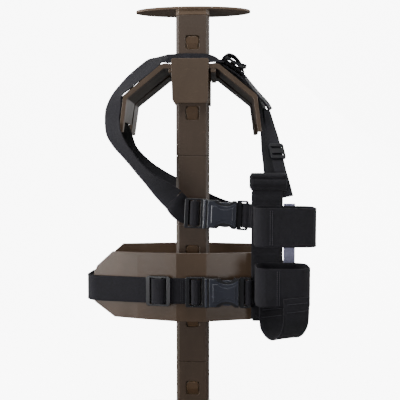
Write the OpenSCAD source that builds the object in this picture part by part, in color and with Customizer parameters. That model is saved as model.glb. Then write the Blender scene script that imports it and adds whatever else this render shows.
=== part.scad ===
// Free-standing modular display stand for load-bearing gear, with a webbing harness hung on it.
// Frame: origin on the floor under the post's axis, +Z up, the front of the stand faces -Y.

/* [Post] */
// Width of the square post, across its flats
post_w = 66; // [60:0.5:72]
// Wall of each tubular post segment
post_wall = 4; // [3:0.5:5]
// Bevel along the post's four edges
post_bevel = 6; // [4:0.5:8]
// Height of one post segment
seg_h = 139; // [130:1:150]
// Width and height of the snap window in a segment
window_w = 28; // [26:0.5:30]
// Depth of the window's centre below the top of its segment
window_drop = 54; // [50:1:60]
// Travel of a snap catch when it is pressed in
catch_travel = 5; // [3:0.5:6]

/* [Base] */
// Width of the base plate
base_w = 360; // [320:5:420]
// Depth of the base plate
base_d = 264; // [250:2:340]
// Thickness of the base plate
base_t = 16; // [12:1:20]
// Height of the rubber feet below the base plate
foot_h = 8; // [6:1:12]

/* [Top rest] */
// Length of the oval rest
rest_w = 232; // [220:1:240]
// Depth of the oval rest
rest_d = 74; // [72:1:90]
// Thickness of the rest's rim
rest_t = 5; // [4:0.5:8]

/* [Shoulder yoke] */
// Half the width of the yoke at its leg tips
yoke_half_w = 141; // [135:1:150]
// Depth of the yoke from its front rail to its rear edge
yoke_d = 185; // [170:1:195]
// Sideways set of the yoke on the post
yoke_set = -4; // [-6:1:0]
// Thickness of the front rail
rail_t = 9; // [7:0.5:11]
// Depth of the front rail
rail_d = 16; // [12:1:20]
// Height of the lip along the rear of the shoulders
rear_lip_h = 28; // [15:1:32]

/* [Waist form] */
// Half the width of the waist form
waist_half_w = 195; // [185:1:205]
// Depth of the waist form
waist_d = 185; // [170:1:200]
// Height of the waist form at its front
waist_h = 133; // [120:1:145]
// Height of the waist form at its sides
waist_side_h = 58; // [50:1:70]
// Wall of the waist form
waist_wall = 5; // [4:0.5:7]

/* [Harness] */
// Width of the belt and of the shoulder strap
web_w = 50; // [45:1:55]
// Thickness of the webbing
web_t = 2.4; // [1.8:0.2:3]
// Width of the elastic of the bottle loops
elastic_w = 70; // [64:1:76]
// Width of a side-release buckle, across the belt
buckle_w = 58; // [54:1:62]
// Thickness of a side-release buckle
buckle_t = 14; // [13:0.5:16]
// Travel of a release tab when it is squeezed
tab_travel = 4; // [2:0.5:5]

/* [Hidden] */

brown = "#57463b";
black = "#26262b";
gloss = "#1c1d21";
gap = 0.4;                 // running clearance between separate bodies
fit = 0.15;                // clearance between parts that are assembled for good
base_top = foot_h + base_t;
post_h = 6 * seg_h;
post_top = base_top + post_h;
window_segments = [1, 2, 4, 5, 6];       // counted from the top; the third one is plain
bore_w = post_w - 2 * post_wall;
coupler_w = bore_w - 2 * fit;
coupler_wall = 4;
coupler_h = 112;
seam = 1;                  // open seam between two segments
yoke_top = 760;
collar_w = post_w + 2 * fit + 6;
bridge_drop = 17;          // underside of the bridges, below the top of the yoke
yoke_front = -post_w / 2 - 14;
yoke_back = yoke_front + yoke_d;
shell_d = 63;              // depth of the rear shoulder shell
shell_rise = 3;            // how far the rear shell stands above the front rail
waist_top = 391;
waist_mid = waist_top - 72;
waist_front_y = -85;
waist_back_y = waist_front_y + waist_d;
belt_z = waist_mid - 1;
facet_1 = 29;              // half width of the waist form's middle facet
facet_2 = 106;             // half width out to the end of its second facet
facet_set_2 = 12;          // how far the second facet falls back
facet_set_3 = 32;          // how far the end of the third facet falls back

// ---------- plain geometry helpers ----------

function unit(v) = v / norm(v);

// A corner replaced by an arc of n steps that touches both of its sides
function arc_corner(p0, p1, p2, r, n = 5) =
    let (a = unit(p0 - p1), b = unit(p2 - p1), half = acos(a * b) / 2,
         c = p1 + unit(a + b) * r / sin(half), s = p1 + a * r / tan(half) - c,
         turn = (s[0] * (p1 - c)[1] - s[1] * (p1 - c)[0]) > 0 ? 1 : -1)
    [for (i = [0:n]) let (q = turn * i / n * (180 - 2 * half))
        c + [s[0] * cos(q) - s[1] * sin(q), s[0] * sin(q) + s[1] * cos(q)]];

// An open path with round corners
function round_path(p, r) = concat([p[0]],
    [for (i = [1:len(p) - 2]) each arc_corner(p[i - 1], p[i], p[i + 1], r)], [p[len(p) - 1]]);

// A closed outline with round corners
function round_loop(p, r) = [for (i = [0:len(p) - 1])
    each arc_corner(p[(i + len(p) - 1) % len(p)], p[i], p[(i + 1) % len(p)], r)];

// Outline of a band of thickness t that lies to the right of an open path
function band(p, t) = concat(p, [for (i = [len(p) - 1:-1:0]) p[i] + t * band_normal(p, i)]);
function band_normal(p, i) =
    let (a = unit(p[min(i + 1, len(p) - 1)] - p[min(i, len(p) - 2)]),
         b = unit(p[max(i, 1)] - p[max(i - 1, 0)]), d = unit(a + b))
    [d[1], -d[0]] / (d * a);

function rect_points(w, h) = [[-w / 2, -h / 2], [w / 2, -h / 2], [w / 2, h / 2], [-w / 2, h / 2]];
function bevel_square(w, c) = [for (k = [0:3]) each
    [let (q = 90 * k) [cos(q) * (w / 2 - c) + sin(q) * w / 2, sin(q) * (w / 2 - c) - cos(q) * w / 2],
     let (q = 90 * k) [cos(q) * w / 2 + sin(q) * (w / 2 - c), sin(q) * w / 2 - cos(q) * (w / 2 - c)]]];

// Draws an X-Z outline as a slab between two depths
module slab(points, y0, y1)
    translate([0, y1, 0]) rotate([90, 0, 0]) linear_extrude(y1 - y0) polygon(points);

// Draws an X-Y outline as a prism between two heights
module prism(points, z0, z1) translate([0, 0, z0]) linear_extrude(z1 - z0) polygon(points);

// A strap swept through stations [centre, direction across its width], w wide and t thick
module ribbon(stations, w, t, steps = 6) {
    n = len(stations) - 1;
    rings = [for (i = [0:n * steps])
        let (k = min(floor(i / steps), n - 1), u = i / steps - k)
        [spline_at(stations, 0, k, u), unit(spline_at(stations, 1, k, u))]];
    m = len(rings) - 1;
    points = [for (i = [0:m])
        let (along = unit(rings[min(i + 1, m)][0] - rings[max(i - 1, 0)][0]),
             raw = rings[i][1], across = unit(raw - (raw * along) * along),
             up = cross(along, across))
        each [for (c = [[-1, -1], [1, -1], [1, 1], [-1, 1]])
            rings[i][0] + c[0] * across * w / 2 + c[1] * up * t / 2]];
    faces = concat([[3, 2, 1, 0]], [[for (j = [0:3]) 4 * m + j]],
        [for (i = [0:m - 1], j = [0:3]) each
            let (a = 4 * i + j, b = 4 * i + (j + 1) % 4) [[a, b, b + 4], [a, b + 4, a + 4]]]);
    polyhedron(points, [for (f = faces) [for (i = [len(f) - 1:-1:0]) f[i]]]);
}
function spline_at(s, which, k, u) =
    let (n = len(s) - 1, a = s[max(k - 1, 0)][which], b = s[k][which],
         c = s[k + 1][which], d = s[min(k + 2, n)][which])
    0.5 * (2 * b + (c - a) * u + (2 * a - 5 * b + 4 * c - d) * u * u
           + (3 * b - a - 3 * c + d) * u * u * u);

// ---------- base ----------

module base_plate() color(brown) {
    cut = 70;
    outline = [[-base_w / 2 + cut, -base_d / 2], [base_w / 2 - cut, -base_d / 2],
               [base_w / 2, -base_d / 2 + cut], [base_w / 2, base_d / 2 - cut],
               [base_w / 2 - cut, base_d / 2], [-base_w / 2 + cut, base_d / 2],
               [-base_w / 2, base_d / 2 - cut], [-base_w / 2, -base_d / 2 + cut]];
    step = 0.94;
    difference() {
        union() {
            prism(outline, foot_h, foot_h + base_t - 6);
            prism([for (p = outline) p * step], foot_h + base_t - 6, base_top);
        }
        for (x = [-1, 1], y = [-1, 1]) translate([x * 47, y * 27, foot_h - 1]) {
            cylinder(d = 5.4, h = base_t + 2, $fn = 40);
            cylinder(d = 10, h = 6, $fn = 40);
        }
    }
}

module base_socket() color(brown) difference() {
    union() {
        prism(bevel_square(post_w + 2 * fit + 12, 9), base_top, base_top + 36);
        prism(round_loop(rect_points(116, 74), 10), base_top, base_top + 6);
    }
    prism(bevel_square(post_w + 2 * fit, post_bevel), base_top - 1, base_top + 37);
    for (x = [-1, 1], y = [-1, 1]) translate([x * 47, y * 27, base_top - 1])
        cylinder(d = 4.2, h = 8, $fn = 40);
}

module base_feet() color(black)
    for (p = [[-1, -1], [1, -1], [0, 0], [-1, 1], [1, 1]])
        translate([p[0] * (base_w / 2 - 55), p[1] * (base_d / 2 - 45), 0])
        rotate_extrude($fn = 64) polygon([[0, 0], [17, 0], [19, 2], [17, foot_h], [0, foot_h]]);

module base_screws() color("dimgray")
    for (x = [-1, 1], y = [-1, 1]) translate([x * 47, y * 27, foot_h + 1.6]) {
        cylinder(d = 9, h = 3.4, $fn = 40);
        translate([0, 0, 3.4]) cylinder(d = 4, h = base_t - 5 + 5.9, $fn = 40);
    }

// ---------- post ----------

function seg_bottom(k) = post_top - k * seg_h;
function has_window(k) = len([for (s = window_segments) if (s == k) s]) > 0;

module post_segment(k) color(brown) difference() {
    prism(bevel_square(post_w, post_bevel), seg_bottom(k) + seam / 2, seg_bottom(k) + seg_h - seam / 2);
    prism(bevel_square(bore_w, post_bevel - 2), seg_bottom(k) - 1, seg_bottom(k) + seg_h + 1);
    if (has_window(k)) translate([0, 0, seg_bottom(k) + seg_h - window_drop])
        slab(round_loop(rect_points(window_w, window_w), 4), -post_w / 2 - 1, -post_w / 2 + post_wall + 1);
}

// Inner sleeves that join the segments; each carries the catch of the segment below its seam
module post_couplers() color(brown) for (k = [1:6]) {
    top = k == 1 ? post_top - 1 : seg_bottom(k - 1) + 28;
    low = seg_bottom(k - 1) - 84;
    difference() {
        prism(bevel_square(coupler_w, post_bevel - 1.8), low, top);
        prism(bevel_square(coupler_w - 2 * coupler_wall, post_bevel - 2.4), low - 1, top + 1);
        if (has_window(k)) translate([-19, -coupler_w / 2 - 1, seg_bottom(k - 1) - window_drop - 20])
            cube([38, coupler_wall + 2, 40]);
    }
}

// Snap catch: a shield-shaped button on a wider flange that keeps it behind the wall
module snap_catch(k) {
    face_y = -post_w / 2 + 1.2;
    wall_y = -post_w / 2 + post_wall + gap;
    shield = [[-9, -12], [9, -12], [12, 2], [12, 8], [8, 12], [-8, 12], [-12, 8], [-12, 2]];
    color(brown) translate([0, 0, seg_bottom(k) + seg_h - window_drop]) difference() {
        union() {
            slab(shield, face_y, wall_y + 1);
            slab(rect_points(34, 34), wall_y, wall_y + 3);
        }
        translate([-15, face_y, -2]) rotate([14, 0, 0]) translate([0, -8, -20]) cube([30, 8, 20]);
    }
}

// ---------- top rest ----------

module top_rest() color(brown) {
    oval = [for (i = [0:71]) [cos(5 * i) * rest_w / 2, sin(5 * i) * rest_d / 2]];
    inner = [for (p = oval) [p[0] * 0.985, p[1] * 0.96]];
    prism(oval, post_top + 11, post_top + 11 + rest_t - 1);
    prism(inner, post_top + 10 + rest_t, post_top + 11 + rest_t);
    prism(bevel_square(post_w, post_bevel), post_top + gap, post_top + 11);
}

module top_spigot() color(brown) difference() {
    prism(bevel_square(coupler_w - 2 * coupler_wall - 2 * gap, 3), post_top - 30, post_top + gap);
    prism(bevel_square(coupler_w - 2 * coupler_wall - 8, 3), post_top - 31, post_top - 4);
}

// ---------- shoulder yoke ----------

// Outer line of the yoke, from the left leg's tip over the shoulders to the right leg's tip
yoke_line = [[-yoke_half_w, -133], [9 - yoke_half_w, -62], [-56, 0],
             [56, 0], [yoke_half_w - 9, -62], [yoke_half_w, -133]];
// Inner line of an arch band that is t thick on the slopes and leg_t thick on the legs
function inner_line(t, leg_t) = let (knee = yoke_half_w - 9 - leg_t, foot = yoke_half_w - leg_t)
    [[-foot, -133], [-knee, -62 - t * 0.62], [-52.5, -t],
     [52.5, -t], [knee, -62 - t * 0.62], [foot, -133]];
function reverse(p) = [for (i = [len(p) - 1:-1:0]) p[i]];

module arch(t, leg_t, y0, y1) translate([yoke_set, 0, yoke_top])
    slab(concat(round_path(yoke_line, 12), reverse(round_path(inner_line(t, leg_t), 8))), y0, y1);

module yoke_front_rail() color(brown) difference() {
    arch(rail_t, 7, yoke_front, yoke_front + rail_d);
    prism(bevel_square(collar_w + 4 * fit, 8), yoke_top - rail_t - 1, yoke_top + 1);
}

module yoke_rear_shell() color(brown) translate([0, 0, shell_rise])
    arch(rail_t + 3, 7, yoke_back - shell_d, yoke_back);

// A point of the right slope, s along it and h above it
function on_slope(s, h) = [56, 0] + s * unit([yoke_half_w - 65, -62]) + h * unit([62, yoke_half_w - 65]);

// Lips that stand along the rear edge of both slopes and keep straps on the shoulders
module yoke_rear_lips() color(brown) translate([yoke_set, 0, yoke_top + shell_rise])
    for (side = [0, 1]) mirror([side, 0, 0])
        slab([on_slope(6, 0), on_slope(84, 0), on_slope(64, rear_lip_h * 0.8), on_slope(56, rear_lip_h),
              on_slope(10, rear_lip_h)], yoke_back - 4, yoke_back);

// Thin webs that close the arms between the front rail and the rear shell
module yoke_webs() color(brown) translate([yoke_set, 0, yoke_top])
    for (side = [0, 1]) mirror([side, 0, 0]) {
        foot = [yoke_half_w, -133];
        knee = [yoke_half_w - 9, -62];
        slab([on_slope(-6, -7.5) + [0, 3], on_slope(5, -3), knee + [-3, -2.4], foot + [-4.6, 22],
              foot + [-7.6, 22], knee + [-6, -4], on_slope(2, -6.5), on_slope(-6, -11) + [0, 2]],
             yoke_front + rail_d + fit, yoke_back - shell_d - fit);
    }

module yoke_collar() color(brown) difference() {
    prism(bevel_square(collar_w, 8), yoke_top - 76, yoke_top - 6);
    prism(bevel_square(post_w + 2 * fit, post_bevel), yoke_top - 77, yoke_top - 5);
}

// Brackets that carry the front rail and the rear shell on the collar
module yoke_bridges() color(brown) {
    inner = collar_w / 2 + fit;
    low = yoke_top - bridge_drop;
    for (side = [-1, 1]) translate([side * (inner + 5) - 5, yoke_front + fit, low]) {
        cube([10, yoke_d - shell_d + 30, 7]);
        cube([10, rail_d - 2 * fit, bridge_drop - rail_t - 1.2]);
        translate([0, yoke_d - shell_d + 10, 0]) cube([10, 20, bridge_drop - rail_t - 4.2 + shell_rise]);
    }
    translate([-inner, inner + fit, low]) cube([2 * inner, 10, 7]);
}

// Cover plate in front of the rail, with a boss behind it that reaches the collar
module yoke_front_plate() color(brown) {
    plate = round_loop([[-32, -43.5], [32, -43.5], [35, -36], [37, 43.5], [-37, 43.5], [-35, -36]], 4);
    translate([yoke_set, 0, yoke_top - 33.5]) slab(plate, yoke_front - 4, yoke_front - fit);
    translate([0, 0, yoke_top - rail_t - 34]) slab(rect_points(52, 60), yoke_front - fit, -collar_w / 2 - fit);
}

module yoke_screws() color("dimgray") for (z = [-66, -46]) translate([0, collar_w / 2 + fit, yoke_top + z])
    rotate([-90, 0, 0]) cylinder(d = 9, h = 2.5, $fn = 40);

// ---------- waist form ----------

// Front facets of the waist form, seen from above, from left to right
waist_plan = [[-waist_half_w, waist_front_y + facet_set_3], [-facet_2, waist_front_y + facet_set_2],
              [-facet_1, waist_front_y], [facet_1, waist_front_y],
              [facet_2, waist_front_y + facet_set_2], [waist_half_w, waist_front_y + facet_set_3]];

// Front or back wall: its ends are cut at a slant down to the height of the sides
module waist_wall(flip) {
    mid_y = waist_front_y + waist_d / 2;
    cut = waist_half_w - 42;
    rise = 14;
    translate([0, mid_y, 0]) mirror([0, flip, 0]) translate([0, -mid_y, 0]) intersection() {
        prism(band(reverse(waist_plan), waist_wall), waist_top - waist_h, waist_top);
        slab([[-waist_half_w, waist_mid - waist_side_h / 2], [-cut, waist_top - waist_h + 3],
              [0, waist_top - waist_h - 1], [cut, waist_top - waist_h + 3],
              [waist_half_w, waist_mid - waist_side_h / 2], [waist_half_w, waist_mid + waist_side_h / 2],
              [waist_half_w - 6, waist_mid + waist_side_h / 2 + rise], [cut + 4, waist_top],
              [-cut - 4, waist_top], [-waist_half_w + 6, waist_mid + waist_side_h / 2 + rise],
              [-waist_half_w, waist_mid + waist_side_h / 2]], waist_front_y - 1, mid_y);
    }
}

module waist_front() color(brown) waist_wall(0);
module waist_back() color(brown) waist_wall(1);

module waist_sides() color(brown) for (x = [-1, 1])
    translate([x * (waist_half_w - waist_wall / 2) - waist_wall / 2, waist_front_y + facet_set_3 + 6,
               waist_mid - waist_side_h / 2]) cube([waist_wall, waist_d - 2 * facet_set_3 - 12, waist_side_h]);

// Collar on the post with arms to the front and back walls
module waist_bracket() color(brown) {
    difference() {
        union() {
            prism(bevel_square(post_w + 2 * fit + 10, 8), waist_mid - 48, waist_mid + 48);
            for (z = [-44, 36]) translate([-22, waist_front_y + waist_wall + fit, waist_mid + z])
                cube([44, waist_d - 2 * waist_wall - 2 * fit, 8]);
        }
        prism(bevel_square(post_w + 2 * fit, post_bevel), waist_mid - 49, waist_mid + 49);
    }
}

module waist_screws() color("dimgray") for (z = [-40, 40], x = [-14, 14])
    translate([x, waist_back_y, waist_mid + z]) rotate([-90, 0, 0]) cylinder(d = 8, h = 2.5, $fn = 32);

// ---------- straps ----------
// Each station is [centre of the strap, direction across its width].

shoulder_route = [
    [[-35, -60, 493], [0.5, -0.3, 0.8]],
    [[-60, -60, 513], [0.45, -0.6, 0.65]], [[-84, -60, 534], [0.35, -0.75, 0.4]],
    [[-108, -60, 560], [0.35, -0.87, 0.33]], [[-134, -56, 592], [0.45, -0.85, 0.25]],
    [[-154, -40, 621], [0.62, -0.78, 0.05]], [[-162, -26, 648], [0.69, -0.72, -0.05]],
    [[-160, -22, 676], [0.72, -0.68, -0.05]], [[-151, -18, 705], [0.51, -0.84, -0.17]],
    [[-126, -19, 730], [0.33, -0.79, -0.52]], [[-87, -20, 760.5], [0.11, -0.73, -0.68]],
    [[-66, -17, 772.5], [0.08, -0.9, -0.42]], [[-47, -17, 775.5], [-0.05, -0.86, -0.5]]];
neck_route = [
    [[-43, -41.3, 771.5], [0, -0.35, -0.93]], [[-20, -41.3, 772], [0, -0.35, -0.93]],
    [[0, -41.3, 772], [0, -0.35, -0.93]], [[28, -40, 771.5], [0, -0.42, -0.9]],
    [[46, -37, 770], [0, -0.75, -0.6]], [[58, -29, 768], [0, -0.95, -0.2]]];
back_route = [
    [[-62, 44, 768], [0, 1, 0]], [[-82, 44, 757], [0.1, 1, 0]], [[-107, 44, 737], [0.1, 1, 0]],
    [[-134, 44, 714], [0.2, 1, 0]], [[-152, 44, 688], [0.5, 0.85, 0]],
    [[-153, 46, 655], [0.5, 0.85, 0]], [[-145, 50, 622], [0.55, 0.78, 0.3]],
    [[-131, 56, 588], [0.2, 0.6, 0.75]], [[-104, 60, 557], [0.1, 0.4, 0.9]],
    [[-78, 60, 537], [0.1, 0.3, 0.95]], [[-44, 57, 518], [0.1, 0.2, 0.95]],
    [[0, 51, 499], [0.1, 0.1, 0.98]], [[34, 44, 481], [0.1, 0, 0.98]],
    [[72, 22, 468], [0.05, 0, 1]], [[106, -14, 463], [0.02, 0, 1]],
    [[134, -50, 462], [0, 0, 1]], [[142, -88, 462], [0, 0, 1]]];
tail_route = [
    [[102, -10, 741], [0.15, 0.97, 0.19]], [[117, -8, 722], [0.19, 0.96, 0.19]],
    [[135, -8, 701], [0.19, 0.96, 0.19]], [[148, -7, 687], [0.22, 0.96, 0.16]],
    [[157, -6, 673], [0.25, 0.96, 0.1]]];
side_route = [
    [[54, 34, 768], [0, 1, 0]], [[74, 34, 756], [0, 1, 0]], [[100, 33, 735], [0, 1, 0]],
    [[128, 30, 712], [0.2, 1, 0]], [[143, 24, 686], [0.4, 0.9, 0]],
    [[147, 8, 655], [0.7, 0.7, 0]], [[148, -15, 622], [0.9, 0.4, 0]],
    [[149, -40, 590], [0.98, 0.2, 0]], [[151, -68, 558], [1, 0.1, 0]],
    [[152, -82, 534], [1, 0, 0]]];
adjuster_route = [
    [[151, 20, 676], [0.6, 0.8, 0]], [[156, 4, 645], [0.8, 0.5, 0]],
    [[162, -16, 615], [0.95, 0.25, 0]], [[166, -45, 585], [0.98, 0.18, 0]],
    [[171, -75, 550], [1, 0.1, 0]], [[178, -84, 522], [1, 0.05, 0]],
    [[183, -90, 500], [1, 0, 0]]];

module shoulder_strap() color(black) ribbon(shoulder_route, web_w, web_t);
module neck_strap() color(black) ribbon(neck_route, web_w * 0.4, web_t);
module back_strap() color(black) ribbon(back_route, 38, web_t);
module strap_tail() color(black) ribbon(tail_route, 38, web_t * 2);

// Two narrow straps that run side by side from the right shoulder to the holster
module side_straps() color(black) {
    ribbon(side_route, 25, web_t);
    ribbon(adjuster_route, 20, web_t);
}

// Ladder lock that grips the shoulder strap: a frame with two bars across it
module shoulder_lock() color(gloss) translate([79, -15, 760]) rotate([0, 32, 0]) {
    difference() {
        translate([0, 0, 3]) linear_extrude(5) polygon(round_loop(rect_points(42, 46), 6));
        for (x = [-10, 7]) translate([x - 3.5, -19, 0]) cube([8, 38, 12]);
    }
    translate([14, 0, 8]) slab(round_loop([[-5, 0], [6, 0], [12, 5], [10, 7], [-5, 3]], 0.8), -17, 17);
}

// Sliding adjuster on the outer side strap
module side_adjuster() color(gloss) translate([166.5, -47.5, 587]) rotate([-42, 0, 10]) difference() {
    slab(round_loop(rect_points(30, 40), 5), -4, 0);
    for (z = [-9, 9]) translate([-11, -5, z - 3]) cube([22, 6, 6]);
}

// ---------- side-release buckles ----------
// In a buckle's own frame x runs from its socket to its plug, y across it, z out of its face.

adj_len = 40;              // webbing end of the socket
body_len = 62;             // hollow part of the socket
plug_len = 22;             // visible part of the plug
tab_x = 79;                // middle of the release tabs

function buckle_outline() = let (h = buckle_w / 2)
    round_loop([[0, -h], [adj_len, -h], [adj_len + 6, -h + 1.5], [adj_len + body_len, -h + 1.5],
                [adj_len + body_len, h - 1.5], [adj_len + 6, h - 1.5], [adj_len, h], [0, h]], 2.5);

module buckle_socket() color(gloss) difference() {
    linear_extrude(buckle_t) polygon(buckle_outline());
    translate([-1, -buckle_w, 9]) cube([adj_len - 3, 2 * buckle_w, buckle_t]);
    for (x = [7, 22]) translate([x, -web_w / 2 - 0.8, -1]) cube([9, web_w + 1.6, buckle_t]);
    translate([adj_len + 6, -22, 3.5]) cube([body_len, 44, 7]);
    for (s = [-1, 1]) {
        translate([tab_x, s * (buckle_w / 2 + 12), -1]) cylinder(r = 20, h = buckle_t + 2, $fn = 96);
        translate([tab_x - 15, s * 24 - 6, 3.5]) cube([30, 12, 7]);
    }
}

module buckle_plug() color(gloss) {
    start = adj_len + body_len + gap;
    difference() {
        translate([start + plug_len / 2, 0, 0]) linear_extrude(buckle_t - 3)
            polygon(round_loop(rect_points(plug_len, buckle_w), 3));
        translate([start + 9, -web_w / 2 - 0.8, -1]) cube([8, web_w + 1.6, buckle_t]);
    }
    translate([start - 42, -4, 5]) cube([43, 8, 4]);
}

// Release tab: a finger pad on the end of a spring arm
module buckle_tab() color(gloss) translate([0, 0, 4]) linear_extrude(6)
    polygon([[tab_x - 13, 13], [tab_x - 13, 18], [tab_x - 11, 21], [tab_x - 8, 24], [tab_x + 8, 24],
             [tab_x + 11, 21], [tab_x + 13, 17], [adj_len + body_len - 1, 15],
             [adj_len + body_len - 1, 12], [tab_x + 10, 13]]);

module at_chest() translate([-14, -53, 467.5]) rotate([0, 2.4, 0]) rotate([90, 0, 0]) children();
module at_waist() translate([-10, waist_front_y - 6, belt_z]) rotate([90, 0, 0]) children();

module chest_buckle_socket() at_chest() buckle_socket();
module chest_buckle_plug() at_chest() buckle_plug();
module chest_tab_upper() at_chest() buckle_tab();
module chest_tab_lower() at_chest() mirror([0, 1, 0]) buckle_tab();
module waist_buckle_socket() at_waist() buckle_socket();
module waist_buckle_plug() at_waist() buckle_plug();
module waist_tab_upper() at_waist() buckle_tab();
module waist_tab_lower() at_waist() mirror([0, 1, 0]) buckle_tab();

// Short webbing from the chest buckle's plug to the holster
module chest_link() color(black)
    prism(band([[98, -50], [116, -50], [129, -78]], web_t), 438, 488);

// ---------- waist belt ----------

module belt_front() color(black) {
    left = round_path([[-209, 8], [-210, -42], [-199, waist_front_y + facet_set_3 - 6],
                       [-facet_2, waist_front_y + facet_set_2 - 1.5],
                       [-facet_1, waist_front_y - 1.2], [-2, waist_front_y - 1.2]], 6);
    prism(band(reverse(left), -web_t), belt_z - web_w / 2, belt_z + web_w / 2);
    prism(band([[106, waist_front_y - 1.5], [118, waist_front_y - 1.5]], web_t),
          belt_z - web_w / 2, belt_z + web_w / 2);
}

module belt_back() color(black) {
    back = waist_back_y + 1.2;
    loop = round_path([[-209, 9], [-206, 64], [-waist_half_w, waist_back_y - facet_set_3 + 1.6], [-facet_2, back - facet_set_2],
                       [-facet_1, back], [facet_1, back], [facet_2, back - facet_set_2],
                       [waist_half_w, waist_back_y - facet_set_3 + 1.6], [206, 64], [208, -50], [184, -86]], 5);
    prism(band(loop, -web_t), belt_z - web_w / 2, belt_z + web_w / 2);
}

// Slide that takes up the belt's spare length
module tri_glide() color(gloss)
    translate([-63, waist_front_y + 3.4 - web_t, belt_z]) rotate([0, 0, -8.9]) difference() {
        slab(round_loop(rect_points(48, buckle_w), 6), -6.5, -1.5);
        for (x = [-16.5, 6.5]) translate([x, -8, -web_w / 2 - 0.6]) cube([10, 8, web_w + 1.2]);
    }

// ---------- bottle holster ----------

holster_x = 115;           // left edge of the holster's panel
holster_y = -92;           // back of the panel
loop_y = holster_y - 5.4;  // back of the elastic loops

module holster_panel() color(black)
    translate([holster_x, holster_y - 4, 262]) cube([60, 4, 255]);

module holster_pad() color(black)
    translate([holster_x - 4, holster_y - 12, 517.4]) cube([72, 16, 29]);

module loop_ring(x0, x1, depth, z_top, height) {
    outer = round_loop([[x0, loop_y - depth], [x1, loop_y - depth], [x1, loop_y], [x0, loop_y]], 22);
    difference() {
        prism(outer, z_top - height, z_top);
        prism(round_loop([[x0 + 3, loop_y - depth + 3], [x1 - 3, loop_y - depth + 3],
                          [x1 - 3, loop_y - 3], [x0 + 3, loop_y - 3]], 19), z_top - height - 1, z_top + 1);
    }
}

module upper_loop() color(black) loop_ring(117, 229, 80, 484, elastic_w);
module lower_loop() color(black) loop_ring(120, 219, 80, 376, elastic_w);

// Flat strip that joins the two loops at the back of the bottle
module loop_tie() color("slategray")
    translate([holster_x + 61, holster_y - 3, 300]) cube([22, 3, 188]);

// Cup strap under the bottle, from the panel round to the front
module stirrup() color(black) {
    across = [0.9, 0.43, 0];
    ribbon([[[153, holster_y - 20, 300], across], [[153, holster_y - 20, 274], across],
            [[156, holster_y - 24, 254], across], [[168, holster_y - 46, 243], across],
            [[180, holster_y - 70, 250], across], [[189, holster_y - 88, 272], across],
            [[191, holster_y - 94, 300], across], [[191, holster_y - 94, 326], across]], 50, 3);
}

base_plate();
base_socket();
base_feet();
base_screws();
post_segment(1);  // post_segment_1
post_segment(2);  // post_segment_2
post_segment(3);  // post_segment_3
post_segment(4);  // post_segment_4
post_segment(5);  // post_segment_5
post_segment(6);  // post_segment_6
post_couplers();
snap_catch(window_segments[0]);  // catch_1
snap_catch(window_segments[1]);  // catch_2
snap_catch(window_segments[2]);  // catch_3
snap_catch(window_segments[3]);  // catch_4
snap_catch(window_segments[4]);  // catch_5
top_rest();
top_spigot();
yoke_collar();
yoke_front_plate();
yoke_front_rail();
yoke_rear_shell();
yoke_rear_lips();
yoke_webs();
yoke_bridges();
yoke_screws();
waist_front();
waist_back();
waist_sides();
waist_bracket();
waist_screws();
shoulder_strap();
neck_strap();
back_strap();
shoulder_lock();
strap_tail();
side_straps();
side_adjuster();
chest_buckle_socket();
chest_buckle_plug();
chest_tab_upper();
chest_tab_lower();
chest_link();
belt_front();
belt_back();
tri_glide();
waist_buckle_socket();
waist_buckle_plug();
waist_tab_upper();
waist_tab_lower();
holster_panel();
holster_pad();
upper_loop();
lower_loop();
loop_tie();
stirrup();
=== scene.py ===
import math

import bmesh
import bpy
import numpy as np
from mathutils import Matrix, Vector


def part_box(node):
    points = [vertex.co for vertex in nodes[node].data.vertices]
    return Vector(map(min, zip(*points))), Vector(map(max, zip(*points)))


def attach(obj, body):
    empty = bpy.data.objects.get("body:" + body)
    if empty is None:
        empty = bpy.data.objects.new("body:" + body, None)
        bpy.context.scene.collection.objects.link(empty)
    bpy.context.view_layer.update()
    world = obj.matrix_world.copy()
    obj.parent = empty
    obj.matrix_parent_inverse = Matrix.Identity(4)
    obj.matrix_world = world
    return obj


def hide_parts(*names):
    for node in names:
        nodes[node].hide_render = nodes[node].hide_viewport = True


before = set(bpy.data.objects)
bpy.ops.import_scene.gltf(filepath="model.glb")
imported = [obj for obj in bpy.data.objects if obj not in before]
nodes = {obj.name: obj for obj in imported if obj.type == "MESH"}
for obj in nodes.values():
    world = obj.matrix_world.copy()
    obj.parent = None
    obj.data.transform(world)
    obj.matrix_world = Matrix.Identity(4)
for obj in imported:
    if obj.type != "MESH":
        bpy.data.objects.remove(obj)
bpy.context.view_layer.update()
MM = 0.001              # shapes below are written in mm, the frame is in metres
WEB = 2.4               # thickness of the black webbing, mm
BELT_WIDTH = 50         # waist belt and shoulder strap
SHOULDER_LINER_WIDTH = 40
FOLD_WIDTH = 48         # webbing folded round the buckles' bars
PANEL_Y = -92           # rear face of the holster's panel
LOOP_OFFSET = 5.4       # from there forward to the rear face of the elastic loops
FLOOR_GLOW = 7.5        # how bright the floor looks to the camera
SKY_GLOW = 8.0          # how bright the backdrop looks to the camera
SKY_FILL = 0.14         # what the backdrop gives the object


# ---------- camera ----------
cam = bpy.data.objects.new("camera", bpy.data.cameras.new("camera"))
bpy.context.scene.collection.objects.link(cam)
cam.data.lens = 56.25
cam.data.sensor_width = 36.0
cam.data.dof.use_dof = False
cam.location = (0.0592, -1.2825, 0.5516)
cam.rotation_euler = Vector((-0.0352, 0.9982, -0.0480)).to_track_quat("-Z", "Y").to_euler()
bpy.context.scene.camera = cam


# ---------- node materials ----------
def lin(c):
    """Linear colour with alpha from 0..255 display values."""
    return tuple((v / 255 / 12.92) if v / 255 <= 0.04045 else ((v / 255 + 0.055) / 1.055) ** 2.4 for v in c) + (1.0,)


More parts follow.
